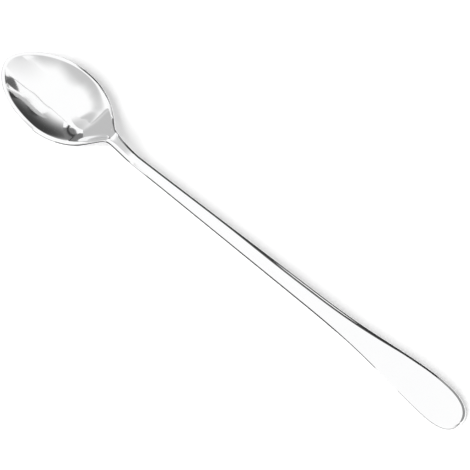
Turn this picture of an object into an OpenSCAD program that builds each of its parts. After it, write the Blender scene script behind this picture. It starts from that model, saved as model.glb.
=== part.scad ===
// Iced tea spoon: one long stainless blank with an egg-shaped bowl, a raised neck,
// a slim stem and a flat handle that widens to a rounded end.
// It lies on the table on the belly of the bowl and the edge of the handle's end.
// X runs from the nose of the bowl to the handle's end, and Z is up from the table.

/* [Overall] */
// Length from the nose of the bowl to the end of the handle
length = 195; // [170:1:220]
// Thickness of the edge that runs all the way round
edge_t = 1; // [0.8:0.05:1.3]
// Width over which the edge is rounded over to the top and to the underside
edge_corner = 0.4; // [0.2:0.05:0.5]
// Extra thickness of the middle of the blank, over that of its edge
middle_t = 0.6; // [0.3:0.05:0.9]

/* [Bowl] */
// Length of the bowl from its nose to its heel, where the neck begins
bowl_len = 48; // [44:1:54]
// Width of the bowl at its widest place
bowl_w = 28.6; // [24:0.2:31]
// Distance from the nose to the widest place
widest_x = 24.5; // [22:0.5:27]
// Depth of the hollow below the rim beside it
bowl_depth = 4.6; // [3.8:0.1:5.6]
// Depth to which the hollow has eased at the heel
heel_depth = 2.2; // [1.6:0.1:3]
// Length over which it eases to that
depth_run = 21; // [16:1:24]
// How pointed the nose is: 0.5 is half an ellipse
nose_point = 0.6; // [0.5:0.02:0.75]
// How full the heel is before it runs into the neck
heel_fullness = 0.1; // [0:0.02:0.3]
// Radius of the fillet between the heel and the neck
heel_fillet = 3; // [2:0.1:4]
// Length by which the hollow runs on into the neck as a shallow groove
groove_len = 3; // [2:0.5:6]

/* [Rim] */
// Width of the land along the rim
rim_land = 1.25; // [0.9:0.05:1.5]
// Slope in degrees at which the land falls outward, from the widest place to the neck
land_angle = 26; // [18:1:30]
// Length over which the level land of the nose turns to that slope
land_run = 10; // [6:0.5:14]
// Distance before the widest place at which it begins to turn
land_lead = 11; // [8:0.5:13]
// Width of the land at the heel, where it runs into the neck
heel_land = 1; // [0.8:0.1:1.4]
// Distance from the heel at which that width is measured
heel_land_back = 5; // [4:0.5:7]
// Rise of the rim at the nose over its lowest place, near the heel
nose_rise = 1.6; // [1:0.1:2.2]
// Rise of the rim at its highest place
rim_rise = 1.9; // [1.3:0.1:2.5]
// Distance from the nose to that highest place
rim_rise_x = 13; // [9:0.5:16]
// Distance from the lowest place of the rim to the crest of the neck
heel_run = 11.5; // [10:0.5:13]

/* [Neck] */
// Width of the neck, to which the fillet of the heel adds a little
neck_w = 3.5; // [3:0.1:4.4]
// Rise of the crest of the neck over the lowest place of the rim
neck_rise = 3.8; // [3:0.1:4.6]
// Roundness of that crest, seen from the side
crest_round = 0.8; // [0.5:0.1:1.5]
// Length over which the neck falls from its crest to the stem
neck_fall = 11; // [9:0.5:14]
// Extra thickness under the neck, where it carries the most bending
neck_rib = 0.7; // [0.3:0.1:1.2]
// Half length of that thickening
neck_rib_len = 9; // [6:0.5:12]
// Distance from the crest of the neck to the middle of that thickening
neck_rib_back = 5; // [2:0.5:8]

/* [Stem] */
// Width of the stem where the handle begins to widen
stem_w = 6.1; // [5:0.1:7.5]
// Rise of the level stem over the lowest place of the rim
stem_rise = 0.95; // [0.4:0.05:1.6]
// Width of the sloping shoulder along each edge of the stem and handle
shoulder_w = 3; // [2.2:0.1:3.4]
// Slope of the shoulder in degrees at its steepest, where the handle begins to widen
shoulder_angle = 40; // [34:1:46]
// Softness with which the shoulder leaves the level middle, as a share of its width
shoulder_soft = 0.5; // [0.3:0.05:0.8]
// Width of the flatter lip that the shoulder ends in
lip_w = 0.85; // [0.6:0.05:1.1]
// Slope of the lip in degrees
lip_angle = 29; // [24:1:34]
// Length before the handle begins to widen over which the shoulder grows to its full slope
shoulder_run = 45; // [35:1:60]

/* [Handle] */
// Length over which the handle widens, measured from its end
handle_len = 65; // [55:1:80]
// Width of the handle at its widest place
handle_w = 13.5; // [11:0.1:16]
// Length of the rounded end beyond the widest place
end_len = 10.8; // [8:0.2:14]
// Squareness of the rounded end: 2 is an ellipse
end_square = 2.5; // [2:0.1:3.5]
// Length over which the handle bends down to the table
droop_len = 45; // [35:1:55]

/* [Hidden] */
steel = [0.86, 0.87, 0.88];

// Number of sections along each piece, and of strips across the top and the underside:
// an odd number of strips underneath leaves a level one in the middle to rest on
nose_steps = 16;
heel_steps = 20;
neck_steps = 16;
stem_steps = 14;
flare_steps = 18;
end_steps = 10;
top_steps = 22;
under_steps = 15;
ring_count = top_steps + under_steps;
rest_share = sin(90 / under_steps);
tiny = 0.001;

// Stations along the spoon, measured from the nose
crest_x = bowl_len;
level_x = crest_x + neck_fall;
heel_low_x = crest_x - heel_run;
hollow_end_x = bowl_len + groove_len;
heel_land_x = bowl_len - heel_land_back;
land_x = widest_x - land_lead;
rib_x = crest_x + neck_rib_back;
flare_x = length - handle_len;
shoulder_x = flare_x - shoulder_run;
end_widest_x = length - end_len;
droop_x = length - droop_len;

// Shapes of the smooth curves, which have no size of their own
flare_lateness = 1.6;
droop_lateness = 3.5;
hollow_round = 1;
hollow_soft = 0.02;
heel_soft = 0.2;
land_soft = 0.1;
lip_soft = 0.2;
shoulder_share = 0.95;
crest_soft = 0.6;
shoulder_slope = tan(shoulder_angle);
land_slope = tan(land_angle);
lip_slope = tan(lip_angle);

function clamp01(v) = max(0, min(1, v));
function mix(a, b, v) = a + (b - a) * v;
function step(v) = let(s = clamp01(v)) s * s * (3 - 2 * s);
function ease(v) = let(s = clamp01(v)) s * s * s * (10 - 15 * s + 6 * s * s);
function between(x, low, high) = (x - low) / (high - low);
// The larger of two widths, with a fillet of the given radius where they cross
function filleted(a, b, r) = (a + b + sqrt((a - b) ^ 2 + r * r)) / 2;
// The smaller of two widths, with a soft change from one to the other
function soft_min(a, b) = 1 / (1 / a ^ 4 + 1 / b ^ 4) ^ 0.25;

// Half width of the stem and handle, without the bowl
function handle_half(x) =
    x > end_widest_x
    ? handle_w / 2 * (1 - clamp01(between(x, end_widest_x, length)) ^ end_square) ^ (1 / end_square)
    : mix(
        mix(neck_w, stem_w, between(x, crest_x, flare_x)) / 2,
        handle_w / 2,
        step(clamp01(between(x, flare_x, end_widest_x)) ^ flare_lateness));

// Half width of the bowl's nose, and of its heel with the fillet into the neck
function nose_half(x) = bowl_w / 2 * max(0, 1 - (1 - x / widest_x) ^ 2) ^ nose_point;
function heel_half(x) =
    let(v = between(x, widest_x, bowl_len))
    filleted(
        bowl_w / 2 * (1 - v * v) * (1 + heel_fullness * v * v),
        handle_half(x),
        heel_fillet * clamp01(v));

// Half width of the whole blank at a station, and how far a point lies inside its edge
function half_width(x) = x < widest_x ? nose_half(x) : heel_half(x);
function half_slope(x) = (half_width(x + tiny) - half_width(x - tiny)) / (2 * tiny);
function edge_distance(x, y) = max(0, half_width(x) - abs(y)) / sqrt(1 + half_slope(x) ^ 2);

// Distance along the spoon from the crest of the neck, rounded over it
function crest_gap(x) = sqrt((x - crest_x) ^ 2 + crest_round ^ 2) - crest_round;
// Share of the rise to the crest: 0 is at the given foot, and 1 is at the crest
function crest_share(x, foot) =
    let(part = 1 - crest_gap(x) / crest_gap(foot))
    (sqrt(part ^ 2 + crest_soft ^ 2) - crest_soft) / (sqrt(1 + crest_soft ^ 2) - crest_soft);
// Fall of the edge line where the land turns from level to its slope
function land_fall(x) =
    land_slope * slope_rise(rim_land, land_soft * rim_land, rim_land) * (1 - ease((x - land_x) / land_run));
// Rise of the edge line over the lowest place of the rim, before the handle bends down
function edge_rise(x) =
    land_fall(x)
    + (x < rim_rise_x ? mix(nose_rise, rim_rise, sin(90 * x / rim_rise_x))
    : x < heel_low_x ? rim_rise * (1 - ease(between(x, rim_rise_x, heel_low_x)))
    : x < crest_x ? neck_rise * crest_share(x, heel_low_x)
    : x < level_x ? mix(stem_rise, neck_rise, crest_share(x, level_x))
    : stem_rise);

// Width of the land at a station
function land(x) = mix(rim_land, heel_land, ease(between(x, widest_x, heel_land_x)));
// How far out a point lies in the hollow: 0 is its middle, and 1 is where the land begins
function nose_reach(x, y) =
    let(
        along = (widest_x - x) / (widest_x - rim_land),
        across = y / (bowl_w / 2 - rim_land))
    sqrt(along ^ 2 + across ^ 2 * max(tiny, 1 - along ^ 2) ^ (1 - 2 * nose_point));
function heel_reach(x, y) =
    let(
        along = between(x, widest_x, hollow_end_x),
        across = y / max(tiny, half_width(x) - land(x)))
    sqrt(along ^ 2 + across ^ 2 * max(0, 1 - along ^ 2));
// Depth of the hollow, with a soft change where it meets the land
function hollow_rise(reach) = sqrt(hollow_round ^ 2 + reach ^ 2) - hollow_round;
function hollow(x, y) =
    let(
        depth = mix(bowl_depth, heel_depth, ease(between(x, heel_land_x - depth_run, heel_land_x))),
        soft = mix(hollow_soft, heel_soft, ease(between(x, widest_x, heel_land_x))),
        reach = x < widest_x ? nose_reach(x, y) : heel_reach(x, y),
        fall = 1 - hollow_rise(reach) / hollow_rise(1))
    depth * (fall + sqrt(fall ^ 2 + soft ^ 2)) / 2;

// Rise inward from an edge of unit slope, which eases to level over the given width
function slope_rise(width, soft, d) =
    sqrt(1 + (soft / width) ^ 2) * (sqrt(width ^ 2 + soft ^ 2) - sqrt(max(0, width - d) ^ 2 + soft ^ 2));
// Part of a distance from the edge that lies within the lip
function lip_reach(d) =
    let(soft = lip_soft * lip_w)
    (d + sqrt(lip_w ^ 2 + soft ^ 2) - sqrt((d - lip_w) ^ 2 + soft ^ 2)) / 2;
// Half thickness of the edge, rounded over
function edge_round(d) = edge_t / 2 * sqrt(1 - (1 - min(1, d / edge_corner)) ^ 2);
// Width and slope of the sloping land of the bowl, or of the shoulder of the stem
function stem_share(x) = ease(between(x, shoulder_x, flare_x)) * (1 - ease(between(x, flare_x, end_widest_x)));
function slope_width(x) =
    mix(rim_land, soft_min(shoulder_w, shoulder_share * max(tiny, half_width(x))), stem_share(x));
function slope(x) =
    mix(land_slope * ease((x - land_x) / land_run), shoulder_slope, stem_share(x));
// Rise of the top inside that slope, how much of it the underside follows, and the belly under that
function crown(x, d) =
    let(
        width = slope_width(x),
        soft = mix(land_soft, shoulder_soft, stem_share(x)) * width)
    slope(x) * slope_rise(width, soft, d) - stem_share(x) * (shoulder_slope - lip_slope) * lip_reach(d);
function fold(x, d) = (1 - stem_share(x)) * crown(x, d);
function belly(x, d) =
    let(thickening = middle_t + neck_rib * exp(-((x - rib_x) / neck_rib_len) ^ 2))
    thickening * (1 - (1 - clamp01(d / max(tiny, half_width(x)))) ^ 2);

// Stations of the heel and of the rounded end, where the spoon rests on the table
heel_stations = [for (i = [1 : heel_steps]) mix(widest_x, crest_x, i / heel_steps)];
end_stations = [for (i = [1 : end_steps - 1]) end_widest_x + end_len * sin(90 * i / end_steps)];
// Height of the level strip underneath, from the lowest place of the rim
function strip_height(x) =
    let(
        y = rest_share * half_width(x),
        d = edge_distance(x, y))
    edge_rise(x) - hollow(x, y) + fold(x, d) - edge_round(d) - belly(x, d);
// Height of the lowest place of the rim, and fall of the handle's end, which lay both on the table
rim_low = -min([for (x = heel_stations) strip_height(x)]);
function bend(x) = clamp01(between(x, droop_x, length)) ^ droop_lateness;
droop = min([for (x = end_stations) (rim_low + strip_height(x)) / bend(x)]);
function edge_height(x) = rim_low + edge_rise(x) - droop * bend(x);

// Points on the top, on the underside and at the two ends of the blank
function top_point(x, y) =
    let(d = edge_distance(x, y))
    [x - length / 2, y, edge_height(x) - hollow(x, y) + edge_round(d) + crown(x, d)];
function under_point(x, y) =
    let(d = edge_distance(x, y))
    [x - length / 2, y, edge_height(x) - hollow(x, y) + fold(x, d) - edge_round(d) - belly(x, d)];
function end_point(x) = [x - length / 2, 0, edge_height(x)];

// One closed section of the blank: over the top from -Y to +Y, and back underneath
function section(x) = concat(
    [for (j = [0 : top_steps]) top_point(x, -half_width(x) * cos(180 * j / top_steps))],
    [for (j = [1 : under_steps - 1]) under_point(x, half_width(x) * cos(180 * j / under_steps))]);

// Triangles between neighbouring sections, and from an end section to a point
function side_faces(count) = [
    for (i = [0 : count - 2], j = [0 : ring_count - 1])
    let(
        a = i * ring_count + j,
        b = i * ring_count + (j + 1) % ring_count)
    each [[a, b, b + ring_count], [a, b + ring_count, a + ring_count]]];
function fan_faces(point, first, turned) = [
    for (j = [0 : ring_count - 1])
    let(k = (j + 1) % ring_count)
    turned ? [point, first + k, first + j] : [point, first + j, first + k]];
function flat_face(first, turned) = [
    for (j = [0 : ring_count - 1])
    first + (turned ? ring_count - 1 - j : j)];

// A length of the blank through the given stations, flat or drawn to a point at each end
module blank(stations, to_nose = false, to_end = false) {
    count = len(stations);
    last = (count - 1) * ring_count;
    points = concat(
        [for (x = stations) each section(x)],
        to_nose ? [end_point(0)] : [],
        to_end ? [end_point(length)] : []);
    start = to_nose ? fan_faces(count * ring_count, 0, true) : [flat_face(0, true)];
    finish = to_end ? fan_faces(count * ring_count, last, false) : [flat_face(last, false)];
    polyhedron(points, concat(side_faces(count), start, finish));
}

// Egg-shaped hollow bowl with its rim land, from the nose to the crest of the neck
module bowl() {
    color(steel)
        blank(
            concat(
                [for (i = [1 : nose_steps]) widest_x * (1 - cos(90 * i / nose_steps))],
                heel_stations),
            to_nose = true);
}

// Narrow neck that falls from its crest to the stem
module neck() {
    color(steel)
        blank([for (i = [0 : neck_steps]) mix(crest_x, level_x, i / neck_steps)]);
}

// Slim level stem with sloping shoulders
module stem() {
    color(steel)
        blank([for (i = [0 : stem_steps]) mix(level_x, flare_x, i / stem_steps)]);
}

// Handle that widens, bends down to the table and ends in a rounded edge
module handle() {
    color(steel)
        blank(
            concat(
                [for (i = [0 : flare_steps]) mix(flare_x, end_widest_x, i / flare_steps)],
                end_stations),
            to_end = true);
}

bowl();
neck();
stem();
handle();
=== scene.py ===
import math
from functools import lru_cache

import bmesh
import bpy
from mathutils import Matrix, Vector


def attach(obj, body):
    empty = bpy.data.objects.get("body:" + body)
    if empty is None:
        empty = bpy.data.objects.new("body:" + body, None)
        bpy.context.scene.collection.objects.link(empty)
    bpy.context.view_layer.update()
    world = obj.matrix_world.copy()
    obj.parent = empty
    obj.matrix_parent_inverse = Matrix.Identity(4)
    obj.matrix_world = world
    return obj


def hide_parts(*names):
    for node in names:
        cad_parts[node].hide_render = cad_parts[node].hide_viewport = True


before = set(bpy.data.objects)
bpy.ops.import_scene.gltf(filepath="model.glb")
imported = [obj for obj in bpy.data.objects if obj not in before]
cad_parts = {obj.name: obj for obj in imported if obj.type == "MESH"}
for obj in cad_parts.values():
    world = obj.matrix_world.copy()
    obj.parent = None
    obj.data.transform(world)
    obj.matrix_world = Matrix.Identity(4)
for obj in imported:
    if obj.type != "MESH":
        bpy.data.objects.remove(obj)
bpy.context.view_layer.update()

# Bowl
# The front end of the stainless blank, pressed into an egg-shaped hollow with a narrow land round it.
# It is mirror polished with the grain along the spoon, and runs on into the neck in one piece.
spoon_length = 0.195
bowl_length = 0.048
bowl_half_width = 0.0143
widest_place = 0.0245
nose_point = 0.6
nose_floor = 1e-3
heel_fullness = 0.1
heel_fillet = 0.003
bowl_depth = 0.0046
heel_depth = 0.0022
depth_ease_start = 0.022
hollow_end = 0.051
hollow_round = 1.0
hollow_soft = 0.02
heel_soft = 0.2
rim_land = 0.00125
land_soft = 0.1
land_slope = math.tan(math.radians(26))
land_start = 0.0135
land_full = 0.0235
heel_land = 0.001
heel_land_place = 0.043
edge_half = 0.0005
edge_corner = 0.0004
sheet_crown = 0.0006
nose_rise = 0.0016
rim_rise = 0.0019
rim_rise_place = 0.013
rim_low_place = 0.0365
neck_rise = 0.0038
crest_round = 0.0008
crest_soft = 0.6
neck_width = 0.0035
neck_end = 0.059
neck_rib = 0.0007
neck_rib_place = 0.053
neck_rib_spread = 0.009
stem_width = 0.0061
stem_end = 0.130
stem_rise = 0.00095
shoulder_width = 0.003
shoulder_share = 0.95
shoulder_power = 4
shoulder_slope = math.tan(math.radians(40))
shoulder_soft = 0.5
shoulder_start = 0.085
lip_width = 0.00085
lip_soft = 0.00017
lip_slope = math.tan(math.radians(29))
handle_half_width = 0.00675
handle_widest = 0.1842
handle_end_square = 2.5
handle_flare_lateness = 1.6
droop_start = 0.150
droop_lateness = 3.5
hair = 1e-6


def share(value, low, high):
    return min(1.0, max(0.0, (value - low) / (high - low)))


def ease(part):
    return part ** 3 * (10 - 15 * part + 6 * part ** 2)


def blend(first, second, part):
    return first + (second - first) * part


def filleted(one, other, radius):
    return (one + other + math.sqrt((one - other) ** 2 + radius ** 2)) / 2


@lru_cache(None)
def handle_outline(x):
    if x > handle_widest:
        rest = 1 - share(x, handle_widest, spoon_length) ** handle_end_square
        return handle_half_width * max(0.0, rest) ** (1 / handle_end_square)
    slim = blend(neck_width, stem_width, (x - bowl_length) / (stem_end - bowl_length)) / 2
    flare = share(x, stem_end, handle_widest) ** handle_flare_lateness
    return blend(slim, handle_half_width, flare * flare * (3 - 2 * flare))


@lru_cache(None)
def half_width(x):
    if x < widest_place:
        along = 1 - x / widest_place
        return bowl_half_width * max(0.0, 1 - along ** 2) ** nose_point
    along = (x - widest_place) / (bowl_length - widest_place)
    egg = bowl_half_width * (1 - along ** 2) * (1 + heel_fullness * along ** 2)
    return filleted(egg, handle_outline(x), heel_fillet * min(1.0, along))


@lru_cache(None)
def edge_lean(x):
    return math.hypot(1, (half_width(x + hair) - half_width(x - hair)) / (2 * hair))


def edge_distance(x, y):
    return max(0.0, half_width(x) - abs(y)) / edge_lean(x)


@lru_cache(None)
def wall_half_width(x):
    land = blend(rim_land, heel_land, ease(share(x, widest_place, heel_land_place)))
    return max(hair, half_width(x) - land)


def hollow(x, y):
    if x < widest_place:
        along = (widest_place - x) / (widest_place - rim_land)
        across = y / (bowl_half_width - rim_land)
        across *= max(nose_floor, 1 - along ** 2) ** (0.5 - nose_point)
    else:
        along = (x - widest_place) / (hollow_end - widest_place)
        across = y / wall_half_width(x) * math.sqrt(max(0.0, 1 - along ** 2))
    rise = math.sqrt(hollow_round ** 2 + along ** 2 + across ** 2) - hollow_round
    fall = 1 - rise / (math.sqrt(hollow_round ** 2 + 1) - hollow_round)
    depth = blend(bowl_depth, heel_depth, ease(share(x, depth_ease_start, heel_land_place)))
    soft = blend(hollow_soft, heel_soft, ease(share(x, widest_place, heel_land_place)))
    return depth * (fall + math.sqrt(fall ** 2 + soft ** 2)) / 2


def edge_round(distance):
    inset = 1 - min(1.0, distance / edge_corner)
    return edge_half * math.sqrt(1 - inset ** 2)


@lru_cache(None)
def shoulder_shape(x):
    stem_share = ease(share(x, shoulder_start, stem_end)) * (1 - ease(share(x, stem_end, handle_widest)))
    room = shoulder_share * max(hair, half_width(x))
    stem_reach = (shoulder_width ** -shoulder_power + room ** -shoulder_power) ** (-1 / shoulder_power)
    rim_slope = land_slope * ease(share(x, land_start, land_full))
    reach = blend(rim_land, stem_reach, stem_share)
    soft = reach * blend(land_soft, shoulder_soft, stem_share)
    return reach, soft, blend(rim_slope, shoulder_slope, stem_share), stem_share


def slope_rise(reach, soft, distance):
    rise = math.hypot(reach, soft) - math.hypot(max(0.0, reach - distance), soft)
    return rise * math.hypot(1, soft / reach)


def shoulder(x, distance):
    reach, soft, slope, stem_share = shoulder_shape(x)
    lip = (distance + math.hypot(lip_width, lip_soft) - math.hypot(distance - lip_width, lip_soft)) / 2
    return slope * slope_rise(reach, soft, distance) - stem_share * (shoulder_slope - lip_slope) * lip


def belly(x, distance):
    rib = neck_rib * math.exp(-((x - neck_rib_place) / neck_rib_spread) ** 2)
    inset = 1 - min(1.0, distance / max(hair, half_width(x)))
    return (sheet_crown + rib) * (1 - inset ** 2)


def crest_gap(x):
    return math.hypot(x - bowl_length, crest_round) - crest_round


def crest_rise(x, foot):
    part = 1 - crest_gap(x) / crest_gap(foot)
    return (math.hypot(part, crest_soft) - crest_soft) / (math.hypot(1, crest_soft) - crest_soft)


@lru_cache(None)
def edge_rise(x):
    land_drop = land_slope * slope_rise(rim_land, land_soft * rim_land, rim_land)
    land_fall = land_drop * (1 - ease(share(x, land_start, land_full)))
    if x < rim_rise_place:
        rise = blend(nose_rise, rim_rise, math.sin(math.pi / 2 * x / rim_rise_place))
    elif x < rim_low_place:
        rise = rim_rise * (1 - ease(share(x, rim_rise_place, rim_low_place)))
    elif x < bowl_length:
        rise = neck_rise * crest_rise(x, rim_low_place)
    elif x < neck_end:
        rise = blend(stem_rise, neck_rise, crest_rise(x, neck_end))
    else:
        rise = stem_rise
    return land_fall + rise


def underside(x, y):
    distance = edge_distance(x, y)
    fold = (1 - shoulder_shape(x)[3]) * shoulder(x, distance)
    return edge_rise(x) - hollow(x, y) + fold - edge_round(distance) - belly(x, distance)


@lru_cache(None)
def bend(x):
    return share(x, droop_start, spoon_length) ** droop_lateness


belly_steps = 96
end_steps = 100
end_step = 0.0001
belly_places = [bowl_length * step / belly_steps for step in range(belly_steps + 1)]
end_places = [spoon_length - end_step * step for step in range(end_steps)]
rim_low = -min(underside(x, 0.0) for x in belly_places)
droop = min((rim_low + underside(x, 0.0)) / bend(x) for x in end_places)


def lift(x):
    return rim_low - droop * bend(x)


def top_height(x, y):
    distance = edge_distance(x, y)
    return lift(x) + edge_rise(x) - hollow(x, y) + edge_round(distance) + shoulder(x, distance)


def under_height(x, y):
    return lift(x) + underside(x, y)


top_columns = 120
under_columns = 72
weld_gap = 1e-8


def pressed_blank(name, start, end, rows):
    mesh = bpy.data.meshes.new(name)
    shape = bmesh.new()
    for columns, height, turned in ((top_columns, top_height, False), (under_columns, under_height, True)):
        sheet = bmesh.ops.create_grid(shape, x_segments=rows, y_segments=columns, size=0.5)
        for vert in sheet["verts"]:
            x = start + (end - start) * (1 + math.sin(math.pi * vert.co.x)) / 2
            y = half_width(x) * math.sin(math.pi * vert.co.y)
            vert.co = (x - spoon_length / 2, y, height(x, y))
        if turned:
            faces = list({face for vert in sheet["verts"] for face in vert.link_faces})
            bmesh.ops.reverse_faces(shape, faces=faces)
    bmesh.ops.remove_doubles(shape, verts=shape.verts, dist=weld_gap)
    for face in shape.faces:
        face.smooth = True
    rims = [edge for edge in shape.edges if edge.is_boundary]
    for edge in rims:
        edge.smooth = False
    bmesh.ops.holes_fill(shape, edges=rims, sides=0)
    bmesh.ops.recalc_face_normals(shape, faces=shape.faces)
    shape.to_mesh(mesh)
    shape.free()
    piece = bpy.data.objects.new(name, mesh)
    bpy.context.scene.collection.objects.link(piece)
    piece.data.materials.append(polished_steel)
    return piece


class Socket:
    """A node socket that can be added to and scaled as a number can."""

    def __init__(self, tree, socket=None):
        self.tree = tree
        self.socket = socket

    def node(self, kind, settings=None, inputs=None, output=0):
        made = self.tree.nodes.new(kind)
        for key, value in (settings or {}).items():
            setattr(made, key, value)
        for key, value in (inputs or {}).items():
            if isinstance(value, Socket):
                value.feed(made, key)
            else:
                made.inputs[key].default_value = value
        return Socket(self.tree, made.outputs[output])

    def feed(self, node, key):
        self.tree.links.new(self.socket, node.inputs[key])

    def math(self, operation, first, second):
        return self.node("ShaderNodeMath", {"operation": operation}, {0: first, 1: second})

    def mix(self, first, second):
        # A Mix node's colours are its inputs 6 and 7, and the mixed colour is its output 2.
        return self.node("ShaderNodeMix", {"data_type": "RGBA"}, {0: self, 6: first, 7: second}, output=2)

    def __add__(self, other):
        return self.math("ADD", self, other)

    __radd__ = __add__

    def __mul__(self, other):
        return self.math("MULTIPLY", self, other)

    __rmul__ = __mul__


def new_material(name):
    material = bpy.data.materials.new(name)
    material.use_nodes = True
    tree = material.node_tree
    return material, tree, tree.nodes["Principled BSDF"]


grain_scale = (60, 2600, 2600)
grain_detail = 3.0
grain_strength = 0.02
grain_depth = 0.00002
cloud_scale = 90.0
cloud_detail = 2.0
cool_steel = (0.915, 0.918, 0.925, 1)
pale_steel = (0.945, 0.945, 0.945, 1)
polish_roughness = 0.035
grain_roughness = 0.03
cloud_roughness = 0.03

polished_steel, tree, shader = new_material("polished_steel")
place = Socket(tree).node("ShaderNodeTexCoord", output="Object")
grain_place = place.node("ShaderNodeMapping", {}, {"Vector": place, "Scale": grain_scale})
grain = place.node("ShaderNodeTexNoise", {}, {"Vector": grain_place, "Scale": 1.0, "Detail": grain_detail})
cloud = place.node("ShaderNodeTexNoise", {}, {"Vector": place, "Scale": cloud_scale, "Detail": cloud_detail})
roughness = polish_roughness + grain_roughness * grain + cloud_roughness * cloud
bump = place.node("ShaderNodeBump", {}, {
    "Strength": grain_strength, "Distance": grain_depth, "Height": grain})
cloud.mix(cool_steel, pale_steel).feed(shader, "Base Color")
roughness.feed(shader, "Roughness")
bump.feed(shader, "Normal")
shader.inputs["Metallic"].default_value = 1.0

bowl = pressed_blank("bowl_hollow", 0.0, bowl_length, rows=240)
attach(bowl, "root")
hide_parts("bowl")

# Neck
# The narrowest part of the blank, thickened underneath and raised over the heel of the bowl.
# It is pressed and polished together with the bowl and the stem.
neck = pressed_blank("neck_rise", bowl_length, neck_end, rows=70)
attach(neck, "root")
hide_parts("neck")

# Stem
# The slim level length behind the neck, with a level top and a sloping shoulder along each edge.
# The shoulders are coined in the same press and polished lengthwise.
stem = pressed_blank("stem_shank", neck_end, stem_end, rows=80)
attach(stem, "root")
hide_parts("stem")

# Handle
# The flat end that the hand holds: it widens, bends down to the table and is trimmed to a round end.
# Its edge is rounded over all the way round.
handle = pressed_blank("handle_flat", stem_end, spoon_length, rows=150)
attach(handle, "root")
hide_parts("handle")

# Table
# A plain white table top under the spoon, wide enough to fill every view.
# It takes the spoon's soft shadow and is otherwise white.
table_half_size = 4.0
table_tone = (0.95, 0.95, 0.95, 1)
table_glow = 0.29
table_mesh = bpy.data.meshes.new("table")
shape = bmesh.new()
bmesh.ops.create_grid(shape, x_segments=1, y_segments=1, size=table_half_size)
shape.to_mesh(table_mesh)
shape.free()
table = bpy.data.objects.new("table", table_mesh)
bpy.context.scene.collection.objects.link(table)


def seen_directly(tree):
    by_camera = Socket(tree).node("ShaderNodeLightPath", output="Is Camera Ray")
    by_mirror = Socket(tree).node("ShaderNodeLightPath", output="Is Glossy Ray")
    return by_camera.math("MAXIMUM", by_camera, by_mirror)


table_white, tree, shader = new_material("table_white")
shader.inputs["Base Color"].default_value = table_tone
shader.inputs["Roughness"].default_value = 1.0
shader.inputs["Specular IOR Level"].default_value = 0.0
seen_directly(tree).feed(shader, "Emission Color")
shader.inputs["Emission Strength"].default_value = table_glow
table.data.materials.append(table_white)

# Cards
# Glowing cards that only reflections see: they are painted reflections, which put the lines, dark patches
# and grey bands into the polished spoon.
# They stand round it as flags and reflectors stand in a studio. Each glows a grey, and may fade from one
# grey to another as it rises.
white = 1.05
black = 0.05


def card(name, faces, low_tone, high_tone=None, low=0.0, high=1.0):
    mesh = bpy.data.meshes.new(name)
    shape = bmesh.new()
    for corners in faces:
        shape.faces.new([shape.verts.new(corner) for corner in corners])
    shape.to_mesh(mesh)
    shape.free()
    piece = bpy.data.objects.new(name, mesh)
    bpy.context.scene.collection.objects.link(piece)
    paint, tree, shader = new_material(name)
    shader.inputs["Base Color"].default_value = (0, 0, 0, 1)
    shader.inputs["Specular IOR Level"].default_value = 0.0
    place = Socket(tree).node("ShaderNodeTexCoord", output="Object")
    height = place.node("ShaderNodeSeparateXYZ", {}, {"Vector": place}, output="Z")
    tone = place.node("ShaderNodeMapRange", {"interpolation_type": "SMOOTHSTEP"}, {
        "Value": height, "From Min": low, "From Max": high,
        "To Min": low_tone, "To Max": high_tone or low_tone})
    # The grey is glowing emission, which the spoon shows as a painted reflection.
    tone.feed(shader, "Emission Color")
    shader.inputs["Emission Strength"].default_value = 1.0
    piece.data.materials.append(paint)
    piece.visible_camera = False
    piece.visible_diffuse = False
    piece.visible_shadow = False


def far_card(name, outline, low_tone, high_tone=None, low=0.0, high=1.0, distance=1.0):
    corners = [(x * distance, distance, z * distance) for x, z in outline]
    card(name, [corners], low_tone, high_tone, low * distance, high * distance)


def upright(start, end, height):
    return [(*start, 0), (*end, 0), (*end, height), (*start, height)]


def level(left, right, near, far, height):
    return [(left, near, height), (right, near, height), (right, far, height), (left, far, height)]


def strip(one_row, other_row):
    return list(zip(one_row, one_row[1:], other_row[1:], other_row))


far_card("black_flag", [(-0.08, 0), (-0.08, 0.66), (-0.17, 0.6), (-0.25, 0.5), (-0.27, 0.42), (-0.34, 0.4),
                        (-0.34, 0)], low_tone=0.04)
far_card("grey_flag", [(1.6, 0), (1.6, 1.2), (0.32, 1.0), (0.1, 0.8), (-0.08, 0.66), (-0.08, 0)],
         low_tone=0.3)
far_card("shaded_wall", [(-0.32, 0), (-0.32, 1), (-0.95, 1), (-0.95, 0)],
         low_tone=black, high_tone=white, low=0.2, high=1.0, distance=1.1)
far_card("nose_flag", [(-0.16, 0.7), (-0.17, 0.93), (-0.2, 0.87), (-0.26, 0.69), (-0.28, 0.62),
                       (-0.28, 0.57), (-0.24, 0.53), (-0.2, 0.56)], low_tone=0.12)
far_card("pale_wedge", [(-0.27, 0.43), (-0.3, 0.4), (-0.36, 0.45), (-0.42, 0.53), (-0.36, 0.56),
                        (-0.3, 0.53)], low_tone=0.55, distance=1.05)
far_card("heel_stripe", [(-0.9, 0), (-0.93, 0.2), (-1.02, 0.38), (-1.06, 0.55), (-1.16, 0.72),
                         (-1.25, 0.72), (-1.12, 0.55), (-1.08, 0.38), (-1.02, 0.2), (-1, 0)], low_tone=black)
far_card("heel_flag", [(-0.9, 0), (-0.95, 0.5), (-1.3, 0.68), (-1.5, 0.58), (-1.5, 0)],
         low_tone=0.19, distance=1.05)

bar_across = 0.006
bar_rise = 0.03
bar = [(-0.16, 0.8), (-0.2, 0.97), (-0.3, 1.08), (-0.33, 1.2),
       (-0.53, 1.15), (-0.82, 1.06), (-1.1, 0.85), (-1.18, 0.65)]
far_card("bar", bar + [(x + bar_across, z + bar_rise) for x, z in reversed(bar)], low_tone=0.3)

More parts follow.
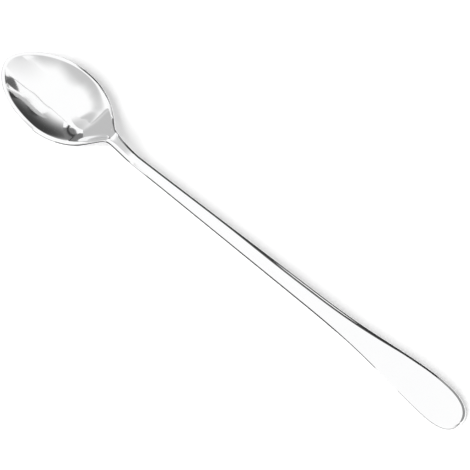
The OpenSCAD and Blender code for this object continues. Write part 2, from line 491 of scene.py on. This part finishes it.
left_wall = -1
left_outline = [(-0.4, 0), (0.66, 0), (0.66, 1), (0.42, 1), (0.36, 0.72), (-0.4, 0.62)]
card("left_reflector", [[(left_wall, y, z) for y, z in left_outline]],
     low_tone=0.55, high_tone=white, low=0.45, high=1.0)

ceiling = 1.0
ceiling_peak = 1.2
ceiling_slope = [(-0.18, -0.145, ceiling_peak), (0.1, -0.12, ceiling), (0.1, 0.9, ceiling),
                 (-0.18, 1.08, ceiling_peak)]
card("ceiling_panel", [level(0.1, 0.45, -0.12, 0.9, ceiling), ceiling_slope],
     low_tone=0.68, high_tone=white, low=ceiling, high=ceiling_peak)

panel_height = 0.1
card("handle_reflector", [level(-0.005, 0.15, 0, 0.12, panel_height),
                          level(-0.087, 0.15, -0.12, 0, panel_height)], low_tone=white)

canopy_far = [(0.3, -0.35), (0.05, -0.7), (-0.2, -0.95), (-0.4, -0.98), (-0.65, -0.88),
              (-0.95, -0.7), (-1.3, -0.45), (-1.5, -0.2), (-1.6, 0.02), (-1.8, 0.75)]
canopy_outer = [(0.02, -0.26), (-0.1, -0.43), (-0.2, -0.58), (-0.36, -0.63), (-0.56, -0.57),
                (-0.8, -0.43), (-1.06, -0.25), (-1.2, -0.08), (-1.26, 0.02), (-1.36, 0.6)]
canopy_inner = [(-0.02, 0.06), (-0.13, -0.17), (-0.24, -0.4), (-0.32, -0.49), (-0.5, -0.48),
                (-0.7, -0.42), (-1.08, -0.22), (-1.28, -0.05), (-1.36, 0.05), (-1.44, 0.68)]
canopy_far = [(x, y, ceiling) for x, y in canopy_far]
canopy_outer = [(x, y, ceiling) for x, y in canopy_outer]
canopy_inner = [(x, y, ceiling_peak) for x, y in canopy_inner]
card("canopy", strip(canopy_far, canopy_outer) + strip(canopy_outer, canopy_inner),
     low_tone=0.6, high_tone=white, low=ceiling, high=ceiling_peak)

# A dark glowing card close to the near edge, with a foot lying just above the table: painted shade, which
# the spoon's near edge reflects as a dark line.
shade_card_left = -0.056
shade_card_right = 0.045
shade_card_place = -0.05
shade_card_height = 0.03
shade_card_foot = -0.01
foot_height = 0.0005
card("near_shade_card", [upright((shade_card_left, shade_card_place), (shade_card_right, shade_card_place), shade_card_height),
                   level(shade_card_left, shade_card_right, shade_card_place, shade_card_foot, foot_height)], low_tone=0.08)

back_wall = -1.2
right_wall = 1.6
back_height = 0.7
right_height = 0.8
wall_foot = 0.05
card("back_walls", [upright((-right_wall, back_wall), (-0.85, back_wall), back_height),
                    upright((-0.36, back_wall), (right_wall, back_wall), back_height)],
     low_tone=0.12, high_tone=white, low=wall_foot, high=back_height)
card("right_wall", [upright((right_wall, back_wall), (right_wall, 1), right_height)],
     low_tone=0.2, high_tone=white, low=wall_foot, high=right_height)

# Lamp and surroundings
# One large soft lamp on the near side, and an even white room.
lamp_size = 1.8
lamp_power = 97.0
lamp_place = Vector((-0.25, -2.2, 2.6))
room_fill = 0.3
room_seen = 0.76
lamp_data = bpy.data.lights.new("soft_lamp", "AREA")
lamp_data.size = lamp_size
lamp_data.energy = lamp_power
lamp = bpy.data.objects.new("soft_lamp", lamp_data)
lamp.location = lamp_place
lamp.rotation_euler = lamp_place.to_track_quat("Z", "Y").to_euler()
lamp.visible_glossy = False
bpy.context.scene.collection.objects.link(lamp)

room = bpy.data.worlds.new("white_room")
room.use_nodes = True
bpy.context.scene.world = room
tree = room.node_tree
background = tree.nodes["Background"]
strength = room_fill + room_seen * seen_directly(tree)
strength.feed(background, "Strength")
background.inputs["Color"].default_value = (1, 1, 1, 1)

# Camera
# The photograph's view: from above the handle's side, with the bowl at the upper left.
camera_turn = math.radians(43.198)
camera_height = math.radians(57)
camera_target = Vector((0.00069, 0.00366, 0))
camera_distance = 0.9
camera_reach = 20
sensor_width = 36
picture_pixels = 470
focal_pixels = 2855
right = Vector((math.cos(camera_turn), math.sin(camera_turn), 0))
away = Vector((math.sin(camera_turn) * math.cos(camera_height),
               -math.cos(camera_turn) * math.cos(camera_height), math.sin(camera_height)))
up = away.cross(right)
camera_data = bpy.data.cameras.new("camera")
camera_data.sensor_width = sensor_width
camera_data.lens = focal_pixels / picture_pixels * sensor_width
camera_data.clip_end = camera_reach
camera = bpy.data.objects.new("camera", camera_data)
camera.matrix_world = Matrix((right, up, away)).transposed().to_4x4()
camera.location = camera_target + away * camera_distance
bpy.context.scene.collection.objects.link(camera)
bpy.context.scene.camera = camera
bpy.context.scene.view_settings.view_transform = "Standard"
